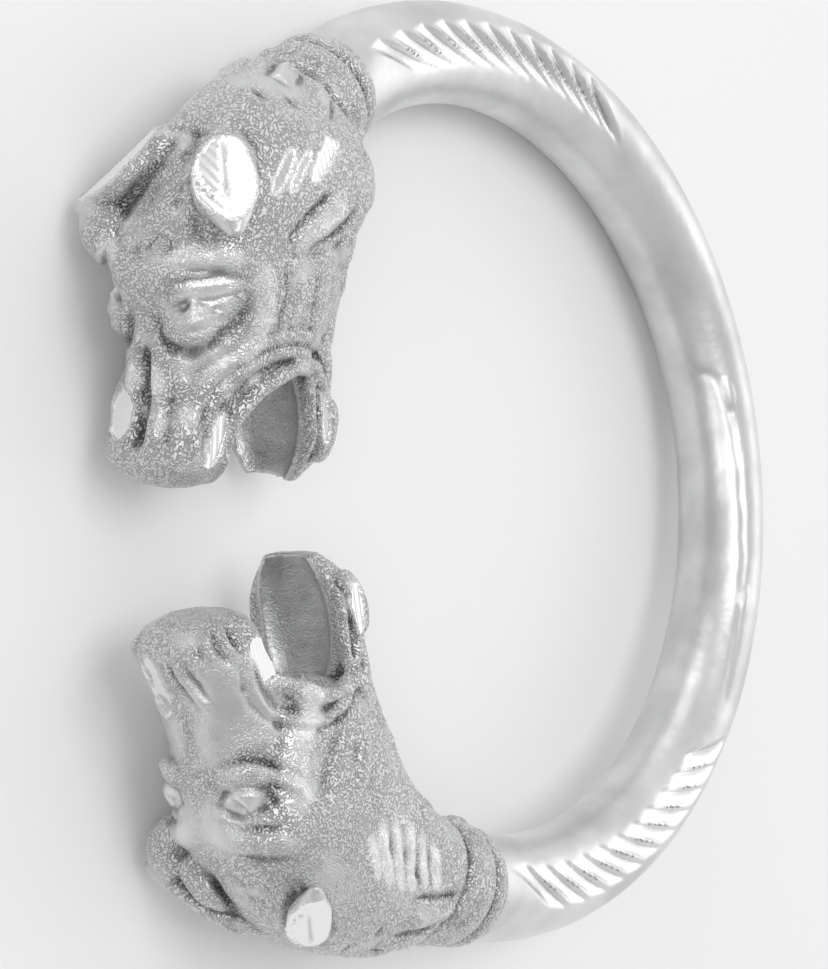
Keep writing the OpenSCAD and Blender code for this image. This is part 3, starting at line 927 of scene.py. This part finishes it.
def loft(name, head, table, stations, sides):
    """The plain body or jaw that a table of sections gives"""
    angles = np.arange(sides) * 360 / sides
    return skin(name, [head.point(table, s, angles) for s in stations])


def mouth_cutter(head):
    """A wedge with round ends that runs through from cheek to cheek"""
    sizes = head.shape.head
    outline = []
    for (x, y, r), first, last in ((MOUTH[0], 90, 270), (MOUTH[1], -90, 90)):
        for a in np.radians(np.linspace(first, last, 20)):
            outline.append((x * sizes.length + r * sizes.height * math.cos(a),
                            y * sizes.height + r * sizes.height * math.sin(a)))
    rings = [[head.local(x, y, z) for x, y in outline] for z in (-2 * sizes.width, 2 * sizes.width)]
    return skin("mouth", rings)


def jaw_hollow(head):
    """The middle and the half sizes of the hollow of the lower jaw, along, up and across"""
    sizes = head.shape.head
    centre = np.array([JAW_HOLLOW_AT[0] * sizes.length, JAW_HOLLOW_AT[1] * sizes.height, 0])
    return centre, np.array(JAW_HOLLOW) * (sizes.length, sizes.height, sizes.width)


def hollow_cutter(head):
    centre, half = jaw_hollow(head)
    axes = [head.local(*way) - head.local(0, 0, 0) for way in np.eye(3)]
    return egg("spoon", head.local(*centre), half, axes)


def form(head, path, half_wide, half_high, side, name):
    """A solid form that lies on the body of a head"""
    station, angle, lift = curve(path, 8).T
    return tube(name, head.point(BODY, station, side * angle, lift),
                head.out(BODY, station, side * angle), half_wide, half_high)


def lip(head, side):
    """The rolled lip round the corner of the mouth on one side"""
    above = curve(LIP_ABOVE, 6)
    below = curve(LIP_BELOW, 6)
    upper = head.point(BODY, above[:, 0], side * above[:, 1], above[:, 2])
    lower = head.point(JAW, below[:, 0], side * below[:, 1], below[:, 2])
    way = np.vstack([head.out(BODY, above[:, 0], side * above[:, 1]),
                     head.out(JAW, below[:, 0], side * below[:, 1])])
    return tube("lip", np.vstack([upper, lower]), way, LIP_HALF, LIP_HALF, blunt=0.6)


def ear_spots(head, side):
    """The ear's root, middle and tip, its half widths and the way out of the head there"""
    rows = NEAR_EARS[head.name] if side > 0 else BROAD_EAR
    spots = np.array([head.point(BODY, s, side * a, up) for s, a, up, _ in rows])
    halves = np.array([share for _, _, _, share in rows]) * head.shape.head.ear
    out = head.out(BODY, rows[1][0], side * rows[1][1])
    return spots, halves, out


def ear(head, side):
    """A pointed ear, as a rounded strand along its root, middle and tip"""
    spots, halves, out = ear_spots(head, side)
    line = curve(spots, 12)
    widths = np.interp(np.linspace(0, 2, len(line)), EAR_PLACES,
                       [halves[0], *(halves[1] * share for share in EAR_SWELL), halves[2]])
    dirs = unit(np.gradient(line, axis=0))
    b = np.arange(20) * 2 * math.pi / 20
    rings = []
    first = line[0] - dirs[0] * halves[0] * 0.8
    last = line[-1] + dirs[-1] * halves[2] * 0.85
    for centre, way, r in [(first, dirs[0], halves[0] * 0.4)] + list(zip(line, dirs, widths)) \
            + [(last, dirs[-1], halves[2] * 0.45)]:
        across = unit(np.cross(way, out))
        up = np.cross(across, way)
        rings.append(centre + r * (np.cos(b)[:, None] * across + EAR_THICK * np.sin(b)[:, None] * up))
    return skin("ear", rings)


def collar(head):
    """A band between two grooves with a ridge behind it, turned round the end of the bar"""
    shape = head.shape
    rings = []
    for along, radius in [COLLAR_ROOT] + [row for row in COLLAR_TURNING if row[0] < COLLAR_END]:
        angle = head.side * (math.pi - shape.collar_angle + along * shape.turn)
        rings.append(shape.hoop_ring(angle, radius, COLLAR_SIDES))
    return skin("collar", rings)


def boss_places(head):
    """The middles of the oval bosses round the band"""
    shape = head.shape
    out = hoop_way(head.side * (math.pi - shape.collar_angle))
    for i in range(shape.head.bosses):
        b = 2 * math.pi * (i + 0.5) / shape.head.bosses
        yield shape.radius * out + COLLAR_BOSS_OUT * (out * math.cos(b) + np.array([0, 0, math.sin(b)]))


def chin(head, side):
    """The oval boss on the side of the chin"""
    station, angle, lift = CHIN
    centre = head.point(JAW, station, side * angle, lift)
    out = head.out(JAW, station, side * angle)
    along = unit(head.point(JAW, station + 0.02, side * angle) - head.point(JAW, station, side * angle))
    return egg("chin", centre, CHIN_HALF, (along, out, np.cross(along, out)))


def build_head(shape, name):
    """Joins the forms of a head into one skin and sculpts it"""
    head = Head(shape, name)
    body = loft("body", head, BODY, BODY_STATIONS, BODY_SIDES)
    jaw = loft("jaw", head, JAW, JAW_STATIONS, JAW_SIDES)
    for piece in (body, jaw):
        cut_away(piece, mouth_cutter(head))
        cut_away(piece, hollow_cutter(head))
    parts = [body, jaw, collar(head)]
    for side in (-1, 1):
        for path, half_wide, half_high in SOLID_FORMS:
            parts.append(form(head, path, half_wide, half_high, side, "form"))
        for path in LOCKS:
            parts.append(form(head, path, *LOCK_HALF, side, "lock"))
        parts.append(lip(head, side))
        parts.append(chin(head, side))
        parts.append(ear(head, side))
    for path, half_wide, half_high in FAR_FORMS[name]:
        parts.append(form(head, path, half_wide, half_high, -1, "far form"))
    piece = joined(name, parts)
    apply_modifier(piece, "REMESH", mode="VOXEL", voxel_size=shape.head.grain)
    apply_modifier(piece, "SMOOTH", factor=0.5, iterations=4)
    sculpt(piece, head)
    finished(piece, silver("cast silver", cast_silver))


def chase(clay, head, table, path, side, half, height, polish=0.0):
    """Lays one stroke of the chasing tool on one side of a head"""
    line = curve(path, 8)
    clay.stroke(head.point(table, line[:, 0], side * line[:, 1]), half + TOOL_EDGE, height, polish)


def sculpt(piece, head):
    """Chases, wears, folds, turns and cuts a head that has its main forms"""
    clay = Clay(piece)
    for side in (-1, 1):
        for table, strokes in ((BODY, STROKES[head.name]), (JAW, JAW_STROKES)):
            for path, half, *rest in strokes:
                chase(clay, head, table, path, side, half, *rest)
        for station, angle, reach, height in BOSSES[head.name]:
            clay.boss(head.point(BODY, station, side * angle, TOOL_EDGE), reach + TOOL_EDGE, height)
        for station, angle, reach in WORN[head.name]:
            clay.wear(head.point(BODY, station, side * angle), reach)
        for spot, reach in zip(ear_spots(head, side)[0][1:], EAR_WORN):
            clay.wear(spot, reach)
    centre, half = jaw_hollow(head)
    clay.worn[np.linalg.norm((head.own(clay.co) - centre) / half, axis=1) < JAW_HOLLOW_WORN] = 1.0
    clay.fold_round_mouth(head)
    clay.turn_collar(head)
    clay.settle()
    for centre in boss_places(head):
        clay.boss(centre, *COLLAR_BOSS)
    wave, seed, height = HEAD_WAVES
    clay.co += clay.out * (grain(clay.co, wave, seed) * height * (1 - HEAD_WAVES_WORN * clay.worn))[:, None]
    for where, station, angle, along, around, depth in CUTS[head.name]:
        table = BODY if where == "body" else JAW
        centre = head.point(table, station, angle)
        way = head.point(table, station + 0.01, angle) - centre
        clay.shave(centre, head.out(table, station, angle), way, (along, around), depth)
    for path in SCRATCHES[head.name]:
        chase(clay, head, BODY, path, 1, *SCRATCH)
    for side in (-1, 1):
        cut_ear(clay, head, side)
    clay.done()


def cut_ear(clay, head, side):
    """Two flat cuts that meet along the middle of the ear, and a row of beads on its edge"""
    spots, halves, out = ear_spots(head, side)
    axis = unit(spots[2] - spots[0])
    across = unit(np.cross(axis, out))
    up = np.cross(across, axis)
    if up @ out < 0:
        up = -up
    middle = spots[1] + up * (halves[1] * EAR_THICK - EAR_CUT_DEEP)
    up = unit(up + EAR_CUT_OUT * out)
    for lean in (-EAR_CUT_LEAN, EAR_CUT_LEAN):
        facing = up * math.cos(lean) + across * math.sin(lean)
        clay.shave(middle, facing, axis, EAR_CUT_REACH, 0.0)
    line = middle + 0.05 * up
    clay.stroke(np.array([line - axis * EAR_LINE_BACK, line, line + axis * EAR_LINE_FORE]), *EAR_LINE)
    edge = across if (across @ (head.point(BODY, BROAD_EAR[1][0], 0) - spots[1])) > 0 else -across
    for k in range(EAR_BEADS):
        t = k / (EAR_BEADS - 1)

        # The row follows the rounded edge of the ear
        aside = halves[1] * (0.94 - 0.45 * (2 * t - 0.9) ** 2)
        clay.boss(middle + axis * (t * EAR_BEADS_LONG - EAR_BEADS_BACK) + edge * aside, *EAR_BEAD)


def ring_angles(shape):
    """Where the rings of the bar stand: close together where the flutes are cut"""
    hoop = shape.hoop
    first = shape.reach - (hoop.flute_start - hoop.flute_pitch) * shape.turn
    last = shape.reach - (hoop.flute_start + hoop.flutes * hoop.flute_pitch) * shape.turn
    end = shape.reach + 0.3 * shape.head.collar_width * shape.turn
    half = np.concatenate([np.linspace(0, last, BAR_RINGS[0])[:-1], np.linspace(last, first, BAR_RINGS[1]),
                           np.linspace(first, end, BAR_RINGS[2])[1:]])
    return np.concatenate([-half[:0:-1], half])


def bar_places(shape, along, around, lift=0.0):
    """Points of the bar's skin from angles along the hoop and round the bar, in degrees"""
    a = np.radians(np.asarray(along, float))
    b = np.radians(np.asarray(around, float))
    thick = shape.bar_thickness(a) / 2 + lift
    flat = shape.radius + thick * np.cos(b)
    return np.stack([flat * np.sin(a), flat * np.cos(a), thick * np.sin(b)], axis=-1)


def build_bar(shape):
    """The bar with its seam, its two blisters of solder and its flutes"""
    rings = []
    for angle in ring_angles(shape):
        rings.append(shape.hoop_ring(angle, shape.bar_thickness(angle) / 2 - BAR_ROOM, BAR_SIDES))
    piece = skin("bar", rings)
    clay = Clay(piece)
    uneven = sum(grain(clay.co, wave, seed) * height for wave, seed, height in BAR_WAVES)
    clay.co += clay.out * (uneven - BAR_PULLED_IN)[:, None]
    along, around = np.array(SEAM, float).T
    around = np.where(around < 0, around + 360, around)
    line = curve(np.stack([along, around], axis=1), 10)
    clay.stroke(bar_places(shape, line[:, 0], line[:, 1]), *SEAM_STROKE)
    for along, around, reach_along, reach_around, height in BLISTERS:
        centre = bar_places(shape, along, around)
        way = unit(bar_places(shape, along + 1, around) - centre)
        gap = clay.co - centre
        run = gap @ way
        aside = np.linalg.norm(gap - run[:, None] * way, axis=1)
        share = np.clip(1 - (run / reach_along) ** 2 - (aside / reach_around) ** 2, 0, 1)
        clay.co += clay.out * (height * np.sqrt(share))[:, None]
    for side in (-1, 1):
        for face in (-1, 1):
            for k in range(shape.hoop.flutes):
                flute(clay, shape, side, face, k)
    clay.done()
    finished(piece, silver("drawn silver", drawn_silver))


def flute(clay, shape, side, face, k):
    """Takes one slanted cut out of a shoulder of the bar"""
    slant = math.radians(FLUTE_SLANT)
    half = FLUTE_HALF * shape.hoop.flute_pitch * math.cos(slant)
    angle = side * (shape.reach - (shape.hoop.flute_start + k * shape.hoop.flute_pitch) * shape.turn)
    out = hoop_way(angle)
    along = np.array([out[1], -out[0], 0])
    gap = clay.co - shape.radius * out
    across = gap @ (along * math.cos(slant) + out * math.sin(slant))
    floor = shape.bar_thickness(angle) / 2 - shape.hoop.flute_depth + FLUTE_TILT * side * across / half
    above = face * clay.co[:, 2] - floor
    here = (above > 0) & (np.linalg.norm(gap, axis=1) < shape.hoop.back * 1.5)
    share = ease((half + 0.16 - np.abs(across)) / FLUTE_SOFT) * here
    clay.co[:, 2] -= face * above * share
    clay.polish = np.maximum(clay.polish, share * ease(above / 0.12))


# Materials

class Wire:
    """One socket of a material, so that shader maths reads as plain sums"""

    def __init__(self, tree, socket=None):
        self.tree = tree
        self.socket = socket

    def node(self, kind, settings=None, values=None, output=0):
        """Adds a node, sets it up, fills or joins its sockets and gives one output"""
        node = self.tree.nodes.new(kind)
        for name, value in (settings or {}).items():
            if name == "stops":
                ramp = node.color_ramp
                while len(ramp.elements) < len(value):
                    ramp.elements.new(0.5)
                for element, (position, level) in zip(ramp.elements, value):
                    element.position = position
                    element.color = (level, level, level, 1)
            else:
                setattr(node, name, value)
        for name, value in (values or {}).items():
            if isinstance(value, Wire):
                self.tree.links.new(value.socket, node.inputs[name])
            else:
                node.inputs[name].default_value = value
        return Wire(self.tree, node.outputs[output])

    def maths(self, operation, first, second=0.0):
        return self.node("ShaderNodeMath", {"operation": operation}, {0: first, 1: second})

    def __add__(self, other):
        return self.maths("ADD", self, other)

    __radd__ = __add__

    def __sub__(self, other):
        return self.maths("SUBTRACT", self, other)

    def __rsub__(self, other):
        return self.maths("SUBTRACT", other, self)

    def __mul__(self, other):
        return self.maths("MULTIPLY", self, other)

    __rmul__ = __mul__

    def clamped(self):
        return self.node("ShaderNodeMath", {"operation": "ADD", "use_clamp": True}, {0: self, 1: 0.0})

    def between(self, low, high):
        """0 at low, 1 at high, eased"""
        return self.node("ShaderNodeMapRange", {"interpolation_type": "SMOOTHSTEP"},
                         {"Value": self, "From Min": low, "From Max": high})

    def mixed(self, first, second):
        """This value mixes two colours"""
        return self.node("ShaderNodeMix", {"data_type": "RGBA"}, {0: self, 6: first, 7: second}, 2)


class Finish:
    """A new material, and the patterns that its sockets are fed with"""

    def __init__(self, name, metallic=1.0):
        self.material = bpy.data.materials.new(name)
        self.material.use_nodes = True
        self.tree = self.material.node_tree
        self.shader = self.tree.nodes["Principled BSDF"]
        self.shader.inputs["Metallic"].default_value = metallic
        self.wire = Wire(self.tree)
        self.place = self.wire.node("ShaderNodeTexCoord", output="Object")

    def mark(self, name):
        """A mark that the sculpting left on the points"""
        return self.wire.node("ShaderNodeAttribute", {"attribute_name": name}, output="Fac")

    def noise(self, size_mm, detail=2.0, roughness=0.5):
        return self.wire.node("ShaderNodeTexNoise", {}, {
            "Vector": self.place, "Scale": 1 / (size_mm * MM), "Detail": detail, "Roughness": roughness})

    def hatch(self, size_mm):
        """Fine, slightly wavering lines, as a chisel leaves them"""
        return self.wire.node("ShaderNodeTexWave", {"bands_direction": "Y"}, {
            "Vector": self.place, "Scale": 1 / (size_mm * MM), "Distortion": 1.5, "Detail": 2.0,
            "Detail Scale": 0.4})

    def feed(self, socket, value):
        self.tree.links.new(value.socket, self.shader.inputs[socket])

    def bump(self, height, strength, distance_mm):
        self.feed("Normal", self.wire.node("ShaderNodeBump", {}, {
            "Height": height, "Strength": strength, "Distance": distance_mm * MM}))


def paint(shade, share=1.0):
    """A colour of the sidebar as a node takes it, made darker or lighter by a share"""
    return tuple(min(1.0, share * c) for c in shade) + (1,)


def silver(name, make):
    """The silver of that name, made when it is first asked for"""
    if name not in bpy.data.materials:
        make(Finish(name), bpy.context.scene.kada_finish)
    return bpy.data.materials[name]


def cast_silver(finish, look):
    """Frosted and stippled, dark in the hollows, mirror bright on the cuts"""
    hollow = finish.mark("hollow")
    polish = finish.mark("polish")
    worn = finish.mark("worn")
    fine = finish.noise(0.16, 2.0, 0.6)
    patches = finish.noise(2.6)
    worms = finish.wire.maths("ABSOLUTE", finish.noise(0.28, 1.0) - 0.5).between(-0.02, 0.13)
    frosted = 1.0 - polish
    cover = patches.between(0.2, 0.5) * (1.0 - worn * 0.85) * frosted
    # Darker towards the dark colour in the hollows, fine and wide, and in random patches, on the frosted
    # skin only
    darkening = (hollow + (fine - 0.5) * 0.8 + (patches - 0.5) * 0.8).between(0.0, 1.1) * frosted
    lines = (1.0 - worms) * cover
    bright = (polish * 2.0 + (fine - 0.4) * 0.8 * cover + worms * cover * 0.3).clamped()
    skin_colour = bright.mixed(paint(look.frosted), paint(look.silver))
    finish.feed("Base Color", (darkening * 0.66 + lines * 0.5).clamped().mixed(skin_colour, paint(look.dark)))
    mirror = polish * polish
    rough = (look.frost + (patches - 0.5) * 0.2 - worn * 0.1) * (1.0 - mirror) + look.cut * mirror
    finish.feed("Roughness", rough.clamped())
    height = worms * cover + fine * 0.35 * (1.0 - worn * 0.5) * frosted
    height = height + finish.noise(1.4) * 0.7 * frosted + finish.hatch(1.6) * polish * 0.06
    finish.bump(height, 1.0, 0.11)


def drawn_silver(finish, look):
    """Smooth, a little uneven, with fine wear and bright cut flutes"""
    hollow = finish.mark("hollow")
    polish = finish.mark("polish")
    cloud = finish.noise(7.0, 3.0, 0.55)
    fine = finish.noise(0.35, 3.0, 0.6)
    dents = finish.noise(2.2)
    colour = (cloud.between(0.35, 0.7) * (1.0 - polish)).mixed(
        paint(look.silver, 0.86), paint(look.silver, 0.7))
    finish.feed("Base Color", (hollow.between(0.05, 0.8) * 0.5).mixed(colour, paint(look.dark)))
    rough = (0.4 + (cloud - 0.5) * 0.2 + (fine - 0.5) * 0.12) * (1.0 - polish) + 0.22 * polish
    finish.feed("Roughness", rough.clamped())
    finish.bump(fine * 0.12 + dents + cloud * 0.6, 0.35, 0.2)


def floor_finish():
    look = bpy.context.scene.kada_stage
    finish = Finish("floor", 0.0)
    finish.feed("Base Color", finish.noise(60.0).mixed(paint(look.floor), paint(look.floor, 1.02)))
    finish.shader.inputs["Roughness"].default_value = 0.9
    return finish.material


# Camera, in the hoop's own space and in mm: where it looks, from where and how it is rolled
CAMERA_AIM = (-0.161, -10.104, 0.0)
CAMERA_AZIMUTH = -4.938
CAMERA_ELEVATION = 39.492
CAMERA_DISTANCE = 200.0
CAMERA_ROLL = 6.519
CAMERA_LENS = 94.89


def add_camera():
    """Sets up the camera in the hoop's own space and lays it down with the part"""
    azimuth = math.radians(CAMERA_AZIMUTH)
    elevation = math.radians(CAMERA_ELEVATION)
    roll = math.radians(CAMERA_ROLL)
    back = Vector((math.sin(azimuth) * math.cos(elevation), -math.cos(azimuth) * math.cos(elevation),
                   math.sin(elevation)))
    ahead = -back
    right = ahead.cross(Vector((0, 0, 1))).normalized()
    up = -ahead.cross(right)
    picture_right = up * math.cos(roll) + right * math.sin(roll)
    picture_down = right * math.cos(roll) - up * math.sin(roll)
    turn = Matrix((picture_right, -picture_down, back)).transposed().to_4x4()
    place = Vector(CAMERA_AIM) + CAMERA_DISTANCE * back
    spot = (REST_TURN @ place + Vector((0, 0, REST_LIFT))) * MM
    camera = bpy.data.cameras.new("camera")
    camera.lens = CAMERA_LENS
    camera.sensor_width = 36
    camera.clip_start = 0.01
    camera.clip_end = 20
    holder = bpy.data.objects.new("camera", camera)
    holder.matrix_world = Matrix.Translation(spot) @ REST_TURN @ turn
    bpy.context.scene.collection.objects.link(holder)
    bpy.context.scene.camera = holder


# Soft lights: place, the point it faces, width and height in metres, and power in watts
LIGHTS = {
    "top": ((-0.15, -0.1, 0.6), (0, -0.01, 0.01), (0.4, 0.3), 1.05),
    "front": ((-0.06, -0.5, 0.45), (0, -0.01, 0.01), (0.3, 0.2), 0.45),
    "far": ((0.0, 0.5, 0.3), (0, -0.01, 0.01), (0.6, 0.2), 0.3),
    "side": ((-0.56, -0.06, 0.17), (0, -0.02, 0.01), (0.26, 0.18), 0.3),
}

# Brightness of the surroundings from straight below to straight above, and their strength
SKY = ((0.0, 0.5), (0.48, 0.7), (0.55, 1.0), (0.75, 0.95), (1.0, 0.6))
SKY_STRENGTH = 1.02


def add_light(name):
    spot, aim, spread, power = LIGHTS[name]
    lamp = bpy.data.lights.new(name, "AREA")
    lamp.shape = "RECTANGLE"
    lamp.size, lamp.size_y = spread
    lamp.energy = power * bpy.context.scene.kada_stage.light
    holder = bpy.data.objects.new(name, lamp)
    holder.location = spot
    holder.rotation_euler = (Vector(aim) - Vector(spot)).to_track_quat("-Z", "Y").to_euler()
    bpy.context.scene.collection.objects.link(holder)


def add_world():
    """A plain light tent, brighter on one side"""
    world = bpy.data.worlds.new("studio")
    world.use_nodes = True
    bpy.context.scene.world = world
    tree = world.node_tree
    wire = Wire(tree)
    way = wire.node("ShaderNodeTexCoord", output="Generated")
    height = wire.node("ShaderNodeSeparateXYZ", {}, {0: way}, output="Z")
    back = wire.node("ShaderNodeSeparateXYZ", {}, {0: way}, output="Y")
    rise = wire.node("ShaderNodeValToRGB", {"stops": SKY}, {0: height * 0.5 + 0.5})
    level = (rise * (back * 0.28 + 0.72)).mixed((0, 0, 0, 1), (1, 1, 1, 1))
    background = tree.nodes["Background"]
    tree.links.new(level.socket, background.inputs["Color"])
    background.inputs["Strength"].default_value = SKY_STRENGTH


# Operators

class KADA_OT_bar(bpy.types.Operator):
    """Models the bar of the hoop with its cut flutes"""
    bl_idname = "kada.bar"
    bl_label = "Bar with flutes"

    def execute(self, context):
        build_bar(Shape(context.scene))
        return {"FINISHED"}


class KADA_OT_heads(bpy.types.Operator):
    """Models both beast heads with their necks and collars"""
    bl_idname = "kada.heads"
    bl_label = "Two beast heads"

    def execute(self, context):
        shape = Shape(context.scene)
        for name in HEADS:
            build_head(shape, name)
        return {"FINISHED"}


class KADA_OT_stage(bpy.types.Operator):
    """Sets up the floor, the soft light and the camera"""
    bl_idname = "kada.stage"
    bl_label = "Floor, light and camera"

    def execute(self, context):
        nothing_selected()
        bpy.ops.mesh.primitive_plane_add(size=6)
        floor = context.active_object
        floor.name = "floor"
        floor.data.materials.append(floor_finish())
        add_world()
        for name in LIGHTS:
            add_light(name)
        add_camera()
        context.scene.view_settings.view_transform = "Standard"
        return {"FINISHED"}


GROUPS = {"kada_hoop": KadaHoopSizes, "kada_head": KadaHeadSizes, "kada_finish": KadaFinish,
          "kada_stage": KadaStageLook}
OPERATORS = (KADA_OT_bar, KADA_OT_heads, KADA_OT_stage)


class KADA_PT_panel(bpy.types.Panel):
    """Lists the pieces of the bangle"""
    bl_label = "Kada bangle"
    bl_idname = "KADA_PT_panel"
    bl_space_type = "VIEW_3D"
    bl_region_type = "UI"
    bl_category = "Kada"

    def draw(self, context):
        for key in GROUPS:
            group = getattr(context.scene, key)
            for name in group.bl_rna.properties.keys():
                if name not in ("rna_type", "name"):
                    self.layout.prop(group, name)
        for operator in OPERATORS:
            self.layout.operator(operator.bl_idname)


CLASSES = (*GROUPS.values(), *OPERATORS, KADA_PT_panel)


def register():
    for cls in CLASSES:
        bpy.utils.register_class(cls)
    for key, group in GROUPS.items():
        setattr(bpy.types.Scene, key, bpy.props.PointerProperty(type=group))


def unregister():
    for key in GROUPS:
        delattr(bpy.types.Scene, key)
    for cls in reversed(CLASSES):
        bpy.utils.unregister_class(cls)


def main():
    register()
    bpy.ops.kada.stage()
    bpy.ops.kada.bar()
    bpy.ops.kada.heads()


if __name__ == "__main__":
    main()
